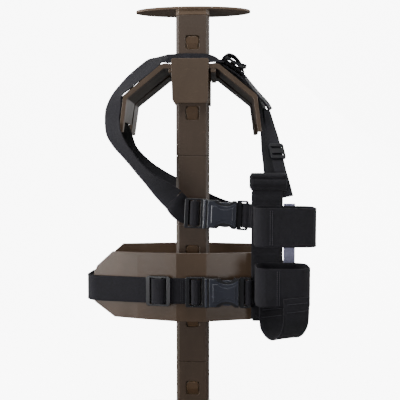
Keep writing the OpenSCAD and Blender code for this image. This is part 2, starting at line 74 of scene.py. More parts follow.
class Net:
    """Small helper that strings shader nodes together."""

    def __init__(self, name):
        self.mat = bpy.data.materials.new(name)
        self.mat.use_nodes = True
        self.t = self.mat.node_tree
        self.bsdf = self.t.nodes["Principled BSDF"]

    def add(self, kind, **props):
        n = self.t.nodes.new(kind)
        for k, v in props.items():
            setattr(n, k, v)
        return n

    def wire(self, a, b):
        if isinstance(a, bpy.types.NodeSocket):
            self.t.links.new(a, b)
        else:
            b.default_value = a

    def math(self, op, a, b=0.0, c=0.0):
        n = self.add("ShaderNodeMath", operation=op)
        for s, v in zip(n.inputs, (a, b, c)):
            self.wire(v, s)
        return n.outputs[0]

    def mix(self, f, a, b):
        n = self.add("ShaderNodeMix", data_type="RGBA")
        for socket, value in ((0, f), (6, a), (7, b)):
            self.wire(value, n.inputs[socket])
        return n.outputs[2]

    def noise(self, scale, detail=3.0, rough=0.55, vec=None):
        n = self.add("ShaderNodeTexNoise")
        n.inputs["Scale"].default_value = scale
        n.inputs["Detail"].default_value = detail
        n.inputs["Roughness"].default_value = rough
        self.wire(vec or self.coords(), n.inputs["Vector"])
        return n.outputs["Fac"]

    def coords(self, stretch=(1, 1, 1)):
        c = self.add("ShaderNodeTexCoord").outputs["Object"]
        if stretch == (1, 1, 1):
            return c
        m = self.add("ShaderNodeMapping")
        m.inputs["Scale"].default_value = stretch
        self.wire(c, m.inputs["Vector"])
        return m.outputs[0]

    def ramp(self, f, lo, hi):
        n = self.add("ShaderNodeMapRange")
        self.wire(f, n.inputs[0])
        n.inputs[1].default_value = lo
        n.inputs[2].default_value = hi
        return n.outputs[0]

    def bump(self, height, distance, strength=1.0, normal=None):
        n = self.add("ShaderNodeBump")
        n.inputs["Strength"].default_value = strength
        n.inputs["Distance"].default_value = distance
        self.wire(height, n.inputs["Height"])
        if normal is not None:
            self.wire(normal, n.inputs["Normal"])
        return n.outputs[0]

    def edge(self, radius):
        """Rounded normal at edges, and a mask that is 1 along them."""
        n = self.add("ShaderNodeBevel", samples=6)
        n.inputs["Radius"].default_value = radius
        d = self.add("ShaderNodeVectorMath", operation="DOT_PRODUCT")
        self.wire(n.outputs[0], d.inputs[0])
        self.wire(self.add("ShaderNodeNewGeometry").outputs["True Normal"], d.inputs[1])
        return n.outputs[0], self.ramp(self.math("SUBTRACT", 1.0, d.outputs["Value"]), 0.015, 0.16)


def plastic(name, rgb, worn_and_highlight, rough=0.5, grain=1.0, edge=0.0011, rub_and_highlight_amount=0.5, spec=0.42):
    """Moulded plastic: fine spark texture, faint flow marks, scuffs, and edges lighter, partly rubbed and partly a
    painted highlight.
    """
    n = Net(name)
    normal, mask = n.edge(edge)
    broad = n.noise(9.0, 4.0)
    fine = n.noise(420.0, 2.0)
    flow = n.noise(30.0, 4.0, 0.6, n.coords((1, 1, 0.22)))
    tone = n.math("ADD", n.math("MULTIPLY", broad, 0.5), n.math("MULTIPLY", flow, 0.5))
    dark = tuple(v * 0.84 for v in lin(rgb)[:3]) + (1.0,)
    light = tuple(min(1.0, v * 1.17) for v in lin(rgb)[:3]) + (1.0,)
    col = n.mix(n.ramp(tone, 0.3, 0.7), dark, light)
    scuff = n.ramp(n.noise(70.0, 6.0, 0.75, n.coords((1, 1, 3.5))), 0.6, 0.78)
    col = n.mix(n.math("MULTIPLY", scuff, 0.22), col, lin(worn_and_highlight))
    # Edges turn lighter here: partly rubbed plastic, partly painted highlight along the edges and chamfers.
    rub_and_highlight = n.math("MULTIPLY", mask, n.ramp(n.noise(55.0, 4.0), 0.3, 0.62))
    col = n.mix(n.math("MULTIPLY", rub_and_highlight, rub_and_highlight_amount), col, lin(worn_and_highlight))
    n.wire(col, n.bsdf.inputs["Base Color"])
    r = n.math("ADD", n.math("MULTIPLY", flow, 0.16), rough - 0.08)
    n.wire(n.math("SUBTRACT", r, n.math("MULTIPLY", rub_and_highlight, 0.1)), n.bsdf.inputs["Roughness"])
    n.bsdf.inputs["Specular IOR Level"].default_value = spec
    height = n.math("ADD", n.math("MULTIPLY", fine, 0.7), n.math("MULTIPLY", flow, 0.9))
    n.wire(n.bump(height, 0.00022 * grain, 0.7, normal), n.bsdf.inputs["Normal"])
    return n.mat


def woven(name, rgb, light, pitch_u, pitch_v, kind="webbing", sheen=0.05, rough=0.82, fade=0.35):
    """Narrow woven goods. U runs along the strap and V across it, both in metres."""
    n = Net(name)
    uv = n.add("ShaderNodeUVMap").outputs[0]
    sep = n.add("ShaderNodeSeparateXYZ")
    n.wire(uv, sep.inputs[0])
    u, v = sep.outputs[0], sep.outputs[1]
    column = n.math("FLOOR", n.math("DIVIDE", v, pitch_v))
    shift = n.math("MULTIPLY", column, math.pi if kind != "elastic" else 0.0)
    phase = n.math("ADD", n.math("MULTIPLY", u, 2 * math.pi / pitch_u), shift)
    if kind == "twill":
        phase = n.math("ADD", phase, n.math("MULTIPLY", v, 2 * math.pi / pitch_u))
    pick = n.math("MULTIPLY_ADD", n.math("SINE", phase), 0.5, 0.5)
    ridge = n.math("ABSOLUTE", n.math("SINE", n.math("MULTIPLY", v, math.pi / pitch_v)))
    weave = n.math("ADD", n.math("MULTIPLY", pick, 0.65), n.math("MULTIPLY", ridge, 0.35))
    fibre = n.noise(1900.0, 2.0)
    blotch = n.noise(24.0, 5.0, 0.65)
    mid = n.noise(260.0, 3.0)
    tone = n.math("ADD", n.math("MULTIPLY", weave, 0.4),
                  n.math("ADD", n.math("MULTIPLY", mid, 0.4), n.math("MULTIPLY", blotch, 0.35)))
    col = n.mix(n.ramp(tone, 0.35, 0.85), lin(rgb), lin(light))
    lint = n.ramp(n.noise(520.0, 4.0, 0.8), 0.66, 0.8)
    col = n.mix(n.math("MULTIPLY", lint, fade), col, lin(tuple(min(255, c + 38) for c in light)))
    n.wire(col, n.bsdf.inputs["Base Color"])
    n.wire(n.math("MULTIPLY_ADD", fibre, 0.14, rough - 0.08), n.bsdf.inputs["Roughness"])
    n.bsdf.inputs["Sheen Weight"].default_value = sheen
    n.bsdf.inputs["Sheen Roughness"].default_value = 0.45
    n.bsdf.inputs["Specular IOR Level"].default_value = 0.22
    height = n.math("ADD", weave, n.math("MULTIPLY", fibre, 0.25))
    n.wire(n.bump(height, 0.0005 if kind != "elastic" else 0.0007, 0.9), n.bsdf.inputs["Normal"])
    return n.mat


def thread(name, rgb):
    """Twisted sewing thread."""
    n = Net(name)
    twist = n.noise(2600.0, 2.0, 0.5, n.coords())
    n.wire(n.mix(twist, lin(tuple(c * 0.7 for c in rgb)), lin(rgb)), n.bsdf.inputs["Base Color"])
    n.wire(n.bump(twist, 0.0002, 0.8), n.bsdf.inputs["Normal"])
    n.bsdf.inputs["Roughness"].default_value = 0.6
    n.bsdf.inputs["Sheen Weight"].default_value = 0.05
    return n.mat


# Colour of scuffs, and of the lighter edges, which are partly rubbing and partly painted highlight.
WORN_AND_HIGHLIGHT = (126, 106, 88)
# The post, base plate and socket get a darker brown than the yoke and waist: partly the plastic's colour, partly
# painted shade for the post's darker lower half.
M_POST_WITH_PAINTED_SHADE = plastic("stand_plastic", (53, 40, 29), WORN_AND_HIGHLIGHT, rough=0.5)
M_REST = plastic("rest_plastic", (76, 59, 43), (150, 128, 108), rough=0.46, rub_and_highlight_amount=0.75, edge=0.0016)
M_YOKE = plastic("yoke_plastic", (60, 46, 33), WORN_AND_HIGHLIGHT, rough=0.5, rub_and_highlight_amount=0.6, edge=0.0015)
M_WAIST = plastic("waist_plastic", (66, 52, 40), (140, 122, 108), rough=0.33, rub_and_highlight_amount=0.7, edge=0.0017, spec=0.5)
M_CATCH = plastic("catch_plastic", (66, 49, 33), (150, 122, 92), rough=0.4, rub_and_highlight_amount=0.75, edge=0.0014)
M_RUBBER = plastic("foot_rubber", (26, 26, 26), (58, 58, 58), rough=0.78, grain=1.6)
M_SCREW = plastic("screw_steel", (44, 42, 40), (120, 118, 116), rough=0.38, rub_and_highlight_amount=0.8)
M_ACETAL = plastic("buckle_plastic", (16, 17, 21), (72, 75, 85), rough=0.3, grain=0.5, rub_and_highlight_amount=0.4, edge=0.001, spec=0.6)
# A lighter copy of the buckle plastic for the buckles' raised faces, insets, tab pads and ridges: painted highlight.
M_ACETAL_PAINTED_HIGHLIGHT = plastic("buckle_painted_highlight", (40, 42, 50), (132, 136, 150), rough=0.22, grain=0.4, rub_and_highlight_amount=0.6,
                     edge=0.0013, spec=0.6)
M_WEB = woven("black_webbing", (13, 12, 15), (32, 31, 38), 0.0019, 0.0013)
# A darker copy of the black webbing for the back strap, shoulder liners and inner side strap: painted shade.
M_WEB_PAINTED_SHADE = woven("black_webbing_painted_shade", (10, 9, 12), (24, 24, 29), 0.0019, 0.0013)
M_ELASTIC = woven("black_elastic", (11, 10, 13), (27, 26, 33), 0.0021, 0.0016, "elastic", fade=0.2)
M_PANEL = woven("holster_fabric", (11, 10, 13), (28, 27, 33), 0.0011, 0.0011, "twill", rough=0.88)
M_GREY = woven("grey_webbing", (84, 84, 100), (128, 128, 150), 0.0016, 0.0011)
M_THREAD = thread("black_thread", (40, 39, 46))
M_THREAD_L = thread("grey_thread", (58, 57, 66))

for key, mat in (("base_plate", M_POST_WITH_PAINTED_SHADE), ("base_socket", M_POST_WITH_PAINTED_SHADE), ("post_", M_POST_WITH_PAINTED_SHADE), ("catch_", M_CATCH),
                 ("top_", M_REST), ("yoke_", M_YOKE), ("waist_", M_WAIST), ("base_feet", M_RUBBER),
                 ("base_screws", M_SCREW), ("yoke_screws", M_SCREW), ("waist_screws", M_SCREW),
                 ("waist_buckle", M_ACETAL), ("waist_tab", M_ACETAL), ("chest_", M_ACETAL),
                 ("tri_glide", M_ACETAL), ("shoulder_lock", M_ACETAL), ("side_adjuster", M_ACETAL)):
    for name, o in nodes.items():
        if name.startswith(key):
            o.data.materials.clear()
            o.data.materials.append(mat)


# ---------- sweeps ----------
def arr(*p):
    return np.array(p, float)


def unit(v):
    return v / max(1e-9, np.linalg.norm(v))


def spline(stations, steps=10):
    """Same curve as the CAD's straps: returns centres and width directions, in mm."""
    c = [np.array(s[0], float) for s in stations]
    d = [np.array(s[1], float) for s in stations]
    n = len(c) - 1

    def at(q, k, u):
        a, b, e, f = q[max(k - 1, 0)], q[k], q[k + 1], q[min(k + 2, n)]
        return 0.5 * (2 * b + (e - a) * u + (2 * a - 5 * b + 4 * e - f) * u * u + (3 * b - a - 3 * e + f) * u ** 3)
    C, D = [], []
    for i in range(n * steps + 1):
        k = min(i // steps, n - 1)
        u = i / steps - k
        C.append(at(c, k, u))
        D.append(unit(at(d, k, u)))
    return np.array(C), np.array(D)


def rounded(path, r, n=6, step=6.0):
    """Polyline with round corners, resampled about every step mm."""
    path = [np.array(p, float) for p in path]
    out = [path[0]]
    for i in range(1, len(path) - 1):
        a, b = path[i - 1] - path[i], path[i + 1] - path[i]
        cut = min(r, 0.45 * np.linalg.norm(a), 0.45 * np.linalg.norm(b))
        s, e = path[i] + unit(a) * cut, path[i] + unit(b) * cut
        for k in range(n + 1):
            t = k / n
            out.append((1 - t) ** 2 * s + 2 * t * (1 - t) * path[i] + t * t * e)
    out.append(path[-1])
    dense = [out[0]]
    for p in out[1:]:
        gap = np.linalg.norm(p - dense[-1])
        m = max(1, int(gap / step))
        q = dense[-1]
        dense += [q + (p - q) * k / m for k in range(1, m + 1)]
    return np.array(dense)


class Strap:
    """Flat webbing swept along centres, with a thicker selvedge and UVs in metres."""

    def __init__(self, name, C, D, w, t, mat, body="stand", closed=False, crown=0.0, wave=0.0,
                 selvedge=0.22, replaces=(), slot="black_webbing", across=10):
        C, D = np.asarray(C, float), np.asarray(D, float)
        n = len(C)
        if closed:
            T = np.roll(C, -1, 0) - np.roll(C, 1, 0)
        else:
            T = np.gradient(C, axis=0)
        T = T / np.linalg.norm(T, axis=1)[:, None]
        A = D - (D * T).sum(1)[:, None] * T
        A = A / np.linalg.norm(A, axis=1)[:, None]
        U = np.cross(T, A)
        seg = np.linalg.norm(np.diff(C, axis=0), axis=1)
        s = np.concatenate([[0], np.cumsum(seg)])
        self.C, self.A, self.U, self.T, self.s, self.w, self.t, self.body = C, A, U, T, s, w, t, body
        self.name = name
        half = w / 2
        a = np.linspace(-half + 0.5 * t, half - 0.5 * t, across + 1)
        prof = []
        for x in a:
            k = min(1.0, max(0.0, (abs(x) - 0.8 * half) / (0.14 * half)))
            prof.append((x, t / 2 * (1 - selvedge * (1 - k))))
        prof += [(half - 0.14 * t, 0.34 * t), (half, 0.0), (half - 0.14 * t, -0.34 * t)]
        prof += [(x, -h) for x, h in prof[across::-1]]
        prof += [(-half + 0.14 * t, -0.34 * t), (-half, 0.0), (-half + 0.14 * t, 0.34 * t)]
        P = np.array(prof)
        m = len(P)
        verts, uvs = [], []
        for i in range(n):
            lift = wave * math.sin(s[i] / 23.0) + 0.5 * wave * math.sin(s[i] / 9.1 + 1.3)
            for (x, h) in P:
                bow = crown * (1 - (2 * x / w) ** 2)
                p = C[i] + A[i] * x + U[i] * (h + bow + lift)
                verts.append(p * MM)
                uvs.append((s[i] * MM, x * MM + (0.2 if h < 0 else 0.0)))
        faces = []
        rows = n if closed else n - 1
        for i in range(rows):
            j = (i + 1) % n
            for k in range(m):
                l = (k + 1) % m
                faces.append((i * m + k, j * m + k, j * m + l, i * m + l))
        if not closed:
            faces.append(tuple(range(m)))
            faces.append(tuple((n - 1) * m + k for k in range(m - 1, -1, -1)))
        self.obj = build(name, verts, faces, mat, body, uvs, slot, replaces)

    def at(self, d, x):
        """Centre line point d mm along, x mm across, with its directions."""
        i = int(np.clip(np.searchsorted(self.s, d) - 1, 0, len(self.s) - 2))
        f = (d - self.s[i]) / max(1e-6, self.s[i + 1] - self.s[i])
        mixed = [q[i] * (1 - f) + q[i + 1] * f for q in (self.C, self.A, self.U, self.T)]
        return mixed[0] + mixed[1] * x, mixed[1], mixed[2], mixed[3]


def build(name, verts, faces, mat, body, uvs=None, slot=None, replaces=(), smooth=True):
    """Mesh object with its material, body and the CAD nodes it stands for; the slot argument is not used."""
    me = bpy.data.meshes.new(name)
    me.from_pydata([tuple(v) for v in verts], [], faces)
    me.update()
    if uvs is not None:
        layer = me.uv_layers.new(name="UVMap")
        idx = np.zeros(len(me.loops), int)
        me.loops.foreach_get("vertex_index", idx)
        layer.data.foreach_set("uv", np.array(uvs, np.float32)[idx].ravel())
    o = bpy.data.objects.new(name, me)
    bpy.context.scene.collection.objects.link(o)
    me.materials.append(mat)
    if smooth:
        me.polygons.foreach_set("use_smooth", [len(f) <= 4 for f in faces])
    bm = bmesh.new()
    bm.from_mesh(me)
    bmesh.ops.recalc_face_normals(bm, faces=bm.faces)
    bm.to_mesh(me)
    bm.free()
    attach(o, body)
    if replaces:
        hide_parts(*replaces)
    return o


def stitches(name, strap, runs, mat=None, side=1, length=2.6, width=0.9, pitch=3.6):
    """Rows of thread that sit in the strap's face. runs: (start mm, end mm, across start, across end)."""
    verts, faces = [], []
    for s0, s1, x0, x1 in runs:
        total = math.hypot(s1 - s0, x1 - x0)
        count = max(1, int(total / pitch))
        for i in range(count):
            f = (i + 0.5) / count
            p, a, u, t = strap.at(s0 + (s1 - s0) * f, x0 + (x1 - x0) * f)
            go = unit(t * (s1 - s0) + a * (x1 - x0))
            cross = unit(np.cross(u, go))
            base = p + u * side * (strap.t / 2 + 0.1)
            start = len(verts)
            rings = ((-0.5, 0.25), (-0.3, 0.9), (0.0, 1.0), (0.3, 0.9), (0.5, 0.25))
            for q, r in rings:
                for k in range(5):
                    ang = 2 * math.pi * k / 5
                    verts.append((base + go * q * length + cross * math.cos(ang) * width / 2 * r
                                  + u * math.sin(ang) * width / 2 * r) * MM)
            for k in range(len(rings) - 1):
                for j in range(5):
                    b = start + k * 5
                    faces.append((b + j, b + (j + 1) % 5, b + 5 + (j + 1) % 5, b + 5 + j))
            faces.append(tuple(start + j for j in range(5)))
            faces.append(tuple(start + 20 + j for j in range(4, -1, -1)))
    return build(name, verts, faces, mat or M_THREAD, strap.body, None, "black_webbing")


def box_x(s0, s1, half):
    """A sewn box with a cross in it."""
    return [(s0, s1, -half, -half), (s0, s1, half, half), (s0, s0, -half, half), (s1, s1, -half, half),
            (s0, s1, -half, half), (s0, s1, half, -half)]


UP = arr(0, 0, 1)

# ---------- harness webbing ----------
shoulder_route = [
    [[-35, -60, 493], [0.5, -0.3, 0.8]],
    [[-60, -60, 513], [0.45, -0.6, 0.65]], [[-84, -60, 534], [0.35, -0.75, 0.4]],
    [[-108, -60, 560], [0.35, -0.87, 0.33]], [[-134, -56, 592], [0.45, -0.85, 0.25]],
    [[-154, -40, 621], [0.62, -0.78, 0.05]], [[-162, -26, 648], [0.69, -0.72, -0.05]],
    [[-160, -22, 676], [0.72, -0.68, -0.05]], [[-151, -18, 705], [0.51, -0.84, -0.17]],
    [[-126, -19, 730], [0.33, -0.79, -0.52]], [[-87, -20, 760.5], [0.11, -0.73, -0.68]],
    [[-66, -17, 772.5], [0.08, -0.9, -0.42]], [[-47, -17, 775.5], [-0.05, -0.86, -0.5]]]
neck_route = [
    [[-50, -41.3, 770.5], [0, -0.35, -0.93]], [[-20, -41.3, 772], [0, -0.35, -0.93]],
    [[0, -41.3, 772], [0, -0.35, -0.93]], [[28, -40, 771.5], [0, -0.42, -0.9]],
    [[46, -37, 770], [0, -0.75, -0.6]], [[58, -29, 768], [0, -0.95, -0.2]]]
back_route = [
    [[-62, 44, 768], [0, 1, 0]], [[-82, 44, 757], [0.1, 1, 0]], [[-107, 44, 737], [0.1, 1, 0]],
    [[-134, 44, 714], [0.2, 1, 0]], [[-152, 44, 688], [0.5, 0.85, 0]],
    [[-153, 46, 655], [0.5, 0.85, 0]], [[-145, 50, 622], [0.55, 0.78, 0.3]],
    [[-131, 56, 588], [0.2, 0.6, 0.75]], [[-104, 60, 557], [0.1, 0.4, 0.9]],
    [[-78, 60, 537], [0.1, 0.3, 0.95]], [[-44, 57, 518], [0.1, 0.2, 0.95]],
    [[0, 51, 499], [0.1, 0.1, 0.98]], [[34, 44, 481], [0.1, 0, 0.98]],
    [[72, 22, 468], [0.05, 0, 1]], [[106, -14, 463], [0.02, 0, 1]],
    [[134, -50, 462], [0, 0, 1]], [[142, -88, 462], [0, 0, 1]]]
tail_route = [
    [[102, -10, 741], [0.15, 0.97, 0.19]], [[117, -8, 722], [0.19, 0.96, 0.19]],
    [[135, -8, 701], [0.19, 0.96, 0.19]], [[148, -7, 687], [0.22, 0.96, 0.16]],
    [[157, -6, 673], [0.25, 0.96, 0.1]]]
side_route = [
    [[54, 34, 768], [0, 1, 0]], [[74, 34, 756], [0, 1, 0]], [[100, 33, 735], [0, 1, 0]],
    [[128, 30, 712], [0.2, 1, 0]], [[143, 24, 686], [0.4, 0.9, 0]],
    [[147, 8, 655], [0.7, 0.7, 0]], [[148, -15, 622], [0.9, 0.4, 0]],
    [[149, -40, 590], [0.98, 0.2, 0]], [[151, -68, 558], [1, 0.1, 0]],
    [[152, -82, 534], [1, 0, 0]]]
adjuster_route = [
    [[151, 20, 676], [0.6, 0.8, 0]], [[156, 4, 645], [0.8, 0.5, 0]],
    [[162, -16, 615], [0.95, 0.25, 0]], [[166, -45, 585], [0.98, 0.18, 0]],
    [[171, -75, 550], [1, 0.1, 0]], [[178, -84, 522], [1, 0.05, 0]],
    [[183, -90, 500], [1, 0, 0]]]

shoulder = Strap("shoulder_webbing", *spline(shoulder_route, 12), BELT_WIDTH, WEB, M_WEB, crown=0.8, wave=0.4,
                 replaces=["shoulder_strap"])
shoulder_end = shoulder.s[-1]
stitches("shoulder_stitching", shoulder,
         box_x(6, 26, 20) + [(30, shoulder_end - 30, x, x) for x in (21, -21)])
neck = Strap("neck_webbing", *spline(neck_route, 10), 20, WEB, M_WEB, crown=0.4, replaces=["neck_strap"])
stitches("neck_stitching", neck, box_x(4, 20, 8.5) + box_x(neck.s[-1] - 20, neck.s[-1] - 4, 8.5))
under_left, ul_d = spline([[[-46, -8, 762.5], [0, 1, 0]], [[-63, -8, 761.3], [0, 1, 0]],
                           [[-86, -8, 742.8], [0, 1, 0]],
                           [[-110, -8, 723.3], [0, 1, 0]], [[-130, -8, 707], [0, 1, 0]],
                           [[-139.5, -7, 694], [0.1, 1, 0]],
                           [[-143.5, -5, 668], [0.1, 1, 0]], [[-148, -4, 640], [0.15, 1, 0]]], 8)
Strap("left_shoulder_liner", under_left, ul_d, SHOULDER_LINER_WIDTH, WEB, M_WEB_PAINTED_SHADE)
under_right, ur_d = spline([[[40, -10, 762.6], [0, 1, 0]], [[51, -10, 762], [0, 1, 0]], [[72, -10, 747.5], [0, 1, 0]],
                            [[92, -10, 732], [0, 1, 0]], [[112, -10, 716.6], [0, 1, 0]],
                            [[125, -9, 704.5], [0, 1, 0]],
                            [[132.5, -8, 692], [0, 1, 0]], [[136, -6, 668], [0, 1, 0]],
                            [[139, -4, 642], [0, 1, 0]]], 8)
# two layers of webbing between the ladder lock and the right shoulder
for label, drop in (("upper", 0.0), ("lower", 10.0)):
    bundle_c, bundle_d = spline([[[47, -14, 763 - 0.35 * drop], [0, 1, 0]], [[60, -14, 768.4 - drop], [0, 1, 0]],
                                 [[78, -14, 757.6 - drop], [0, 1, 0]], [[95, -13, 746.6 - 1.1 * drop], [0, 1, 0]],
                                 [[104, -11, 737 - 1.1 * drop], [0, 1, 0]]], 6)
    Strap("lock_webbing_" + label, bundle_c, bundle_d, 37, 6.0, M_WEB, crown=0.4)
Strap("right_shoulder_liner", under_right, ur_d, SHOULDER_LINER_WIDTH, WEB, M_WEB_PAINTED_SHADE)
back = Strap("back_webbing", *spline(back_route, 10), 38, WEB, M_WEB_PAINTED_SHADE, crown=0.6, wave=0.4,
             replaces=["back_strap"])
stitches("back_stitching", back, box_x(6, 34, 15) + box_x(back.s[-1] - 38, back.s[-1] - 6, 15))
fold_c, fold_d = spline([[[-36, -60.6, 494], [0.5, -0.3, 0.8]], [[-30, -59.5, 487], [0.4, -0.2, 0.9]],
                         [[-22, -55, 476], [0.2, 0, 0.98]], [[-13, -51.4, 469.5], [0.05, 0, 1]],
                         [[-6, -51.0, 467.7], [0.04, 0, 1]], [[-2, -52.6, 467.5], [0.04, 0, 1]]], 6)
Strap("shoulder_end_fold", fold_c, fold_d, 47, 2.2, M_WEB)
lock_c, lock_d = spline([[[58, -20, 769], [0, 1, 0]], [[64, -18, 776], [0, 1, 0]], [[72, -16, 780.5], [0, 1, 0]],
                         [[82, -15, 778], [0, 1, 0]], [[91, -14, 769.5], [0, 1, 0]], [[98, -12, 758], [0, 1, 0]],
                         [[103, -10, 745.5], [0.1, 1, 0]]], 6)
lock_fold = Strap("lock_fold", lock_c, lock_d, 38, 3.2, M_WEB, body="shoulder_lock", crown=0.6)
stitches("lock_fold_stitching", lock_fold, [(5, 5, -14, 14), (9, 9, -14, 14)])
tail_c, tail_d = spline(tail_route, 10)
tail = Strap("tail_webbing", tail_c, tail_d, 42, 4.4, M_WEB, crown=0.5, replaces=["strap_tail"])
stitches("tail_stitching", tail, [(tail.s[-1] - d, tail.s[-1] - d, -15, 15) for d in (14, 6)])
Strap("side_webbing_inner", *spline(side_route, 10), 25, WEB, M_WEB_PAINTED_SHADE, crown=0.4, wave=0.3,
      replaces=["side_straps"])
side_b = Strap("side_webbing_outer", *spline(adjuster_route, 10), 24, WEB, M_WEB, crown=0.4)
stitches("side_stitching", side_b, [(side_b.s[-1] - 26, side_b.s[-1] - 4, x, -x) for x in (-6, 6)])

# ---------- waist belt ----------
belt_lo, belt_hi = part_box("belt_front")
wall_lo, wall_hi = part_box("waist_front")
BELT_Z = (belt_lo.z + belt_hi.z) / 2 / MM
FRONT = wall_lo.y / MM
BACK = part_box("waist_back")[1].y / MM
HALF = wall_hi.x / MM
left = [arr(-209, 9, BELT_Z), arr(-211, -42, BELT_Z), arr(-199, FRONT + 26, BELT_Z),
        arr(-106, FRONT + 12 - 2.8, BELT_Z),
        arr(-29, FRONT - 2.5, BELT_Z), arr(-4, FRONT - 2.5, BELT_Z)]
lc = rounded(left, 10)
belt = Strap("belt_webbing_front", lc, np.tile(-UP, (len(lc), 1)), BELT_WIDTH, WEB, M_WEB, replaces=["belt_front"])
stitches("belt_stitching_front", belt, [(belt.s[-1] - d, belt.s[-1] - d, -20, 20) for d in (12, 16)], side=-1)
bb = [arr(-207.5, 10, BELT_Z), arr(-204.5, 64, BELT_Z), arr(-HALF, BACK - 29, BELT_Z), arr(-106, BACK - 9.4, BELT_Z),
      arr(-29, BACK + 2.6, BELT_Z), arr(29, BACK + 2.6, BELT_Z), arr(106, BACK - 9.4, BELT_Z),
      arr(HALF, BACK - 29, BELT_Z),
      arr(204.5, 64, BELT_Z), arr(206.5, -49, BELT_Z), arr(183, -86, BELT_Z)]
bc = rounded(bb, 9)
belt_b = Strap("belt_webbing_back", bc, np.tile(UP, (len(bc), 1)), BELT_WIDTH, WEB, M_WEB, replaces=["belt_back"])
for k in (60, belt_b.s[-1] - 90):
    stitches("belt_stitching_back_%d" % int(k), belt_b, box_x(k, k + 38, 20))


def placed(origin, tilt):
    """Map from a buckle's own frame (along, across, out of its face) to mm, and its across direction."""
    c, s = math.cos(math.radians(tilt)), math.sin(math.radians(tilt))

    def to(x, y, z):
        return np.array([origin[0] + x * c + y * s, origin[1] - z, origin[2] - x * s + y * c])
    return to, arr(s, 0, c)


def wrap(name, where, points):
    """Webbing folded round a bar: points are (along, out) in the buckle's frame."""
    to, across = where
    path = rounded([to(x, 0, z) for x, z in points], 3.2, step=1.2)
    return Strap(name, path, np.tile(across, (len(path), 1)), FOLD_WIDTH, 2.1, M_WEB, across=12)


chest = placed((-14, -53, 467.5), 2.4)
waist = placed((-10, FRONT - 6, BELT_Z), 0.0)
for label, where in (("chest", chest), ("waist", waist)):
    wrap("%s_socket_fold" % label, where, [(9.2, -2.6), (10.5, 2), (11.5, 8.2), (15, 11.6), (23, 11.6), (26.4, 8.2),
                                          (27.4, 2), (28.6, -2.6)])
    wrap("%s_socket_return" % label, where, [(1.5, -1.6), (8.0, -2.4)])
wrap("chest_plug_return", chest, [(101, -2.2), (110, -2.6), (127, -2.4)])
chest_fold = wrap("chest_link_webbing", chest, [(111.8, -2.5), (112.8, 4), (114.6, 10), (119, 13.4),
                                                (126, 13.2), (133, 17), (141, 25.5)])
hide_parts("chest_link")
stitches("chest_link_stitching", chest_fold, [(26, 26, -19, 19), (30, 30, -19, 19)], side=1)
wrap("waist_plug_fold", waist, [(112.6, -3.4), (113.4, 4), (115, 10), (119, 12.6), (124, 12.4),
                                (128.5, 6), (130, -1.6)])


def extruded(name, where, outline, z0, z1, mat, body="stand", bevel=0.6):
    """Plate with a soft edge, from an outline in the buckle's own frame."""
    to = where[0]
    m = len(outline)
    cx, cy = np.mean([p[0] for p in outline]), np.mean([p[1] for p in outline])
    verts = [to(x, y, z0) * MM for x, y in outline] + [to(x, y, z1 - bevel * 0.5) * MM for x, y in outline]
    inset = [(x + (cx - x) * bevel / 22, y + (cy - y) * bevel / 26) for x, y in outline]
    verts += [to(x, y, z1) * MM for x, y in inset]
    faces = [tuple(range(m - 1, -1, -1)), tuple(range(2 * m, 3 * m))]
    for r in (0, m):
        faces += [(r + i, r + (i + 1) % m, r + m + (i + 1) % m, r + m + i) for i in range(m)]
    return build(name, verts, faces, mat, body, None, "buckle_plastic", smooth=False)


def waisted(x0, x1, h0, h1, dip, n=14):
    """Outline that narrows to dip in its middle, like the finger notches of a side-release buckle."""
    top = []
    for i in range(n + 1):
        f = i / n
        x = x0 + (x1 - x0) * f
        k = max(0.0, 1 - ((x - (x0 + 0.6 * (x1 - x0))) / (0.36 * (x1 - x0))) ** 2)
        h = h0 + (h1 - h0) * f - (h0 + (h1 - h0) * f - dip) * k ** 0.7
        top.append((x, h))
    return top + [(x, -h) for x, h in top[::-1]]


# The raised faces, insets, tab pads and ridges use the lighter copy of the buckle plastic: painted highlight.
for label, where in (("chest", chest), ("waist", waist)):
    extruded(label + "_buckle_face", where, waisted(45, 100.5, 26.5, 24, 16.5), 13.8, 15.6, M_ACETAL_PAINTED_HIGHLIGHT)
    extruded(label + "_buckle_inset", where, waisted(52, 95, 17, 15, 10), 15.4, 16.4, M_ACETAL_PAINTED_HIGHLIGHT, bevel=1.0)
    for s in (1, -1):
        pad_outline = [(79 + 10.5 * math.cos(a), s * (21.8 + 2.8 * math.sin(a)))
                       for a in np.linspace(0, 2 * math.pi, 24, endpoint=False)]
        tab = "upper" if s > 0 else "lower"
        extruded("%s_tab_pad_%s" % (label, tab), where, pad_outline, 9.6, 13.6, M_ACETAL_PAINTED_HIGHLIGHT,
                 body="%s_tab_%s" % (label, tab), bevel=1.6)
    ridge = [(37.5, -27), (41.5, -27), (41.5, 27), (37.5, 27)]
    extruded(label + "_buckle_ridge", where, ridge, 13.5, 16.0, M_ACETAL_PAINTED_HIGHLIGHT, bevel=0.8)

glide_at = arr(-63, FRONT + 3.4 - WEB, BELT_Z)
glide_angle = math.radians(-8.9)


def g_to(x, z):
    """Map from the tri-glide's own frame (along the belt, out of its face) to mm."""
    c, s = math.cos(glide_angle), math.sin(glide_angle)
    return glide_at + arr(x * c - (-z) * s, x * s + (-z) * c, 0)


gp = rounded([g_to(x, z) for x, z in [(-13.8, 1.4), (-12.6, 5), (-9.5, 8.6), (-4, 10.0),
                                      (4, 10.0), (9.5, 8.6), (12.6, 5), (13.8, 1.4)]], 3.5, step=1.2)
Strap("glide_fold", gp, np.tile(UP, (len(gp), 1)), 49, 2.2, M_WEB, body="tri_glide")

# ---------- holster ----------
plo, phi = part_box("holster_panel")


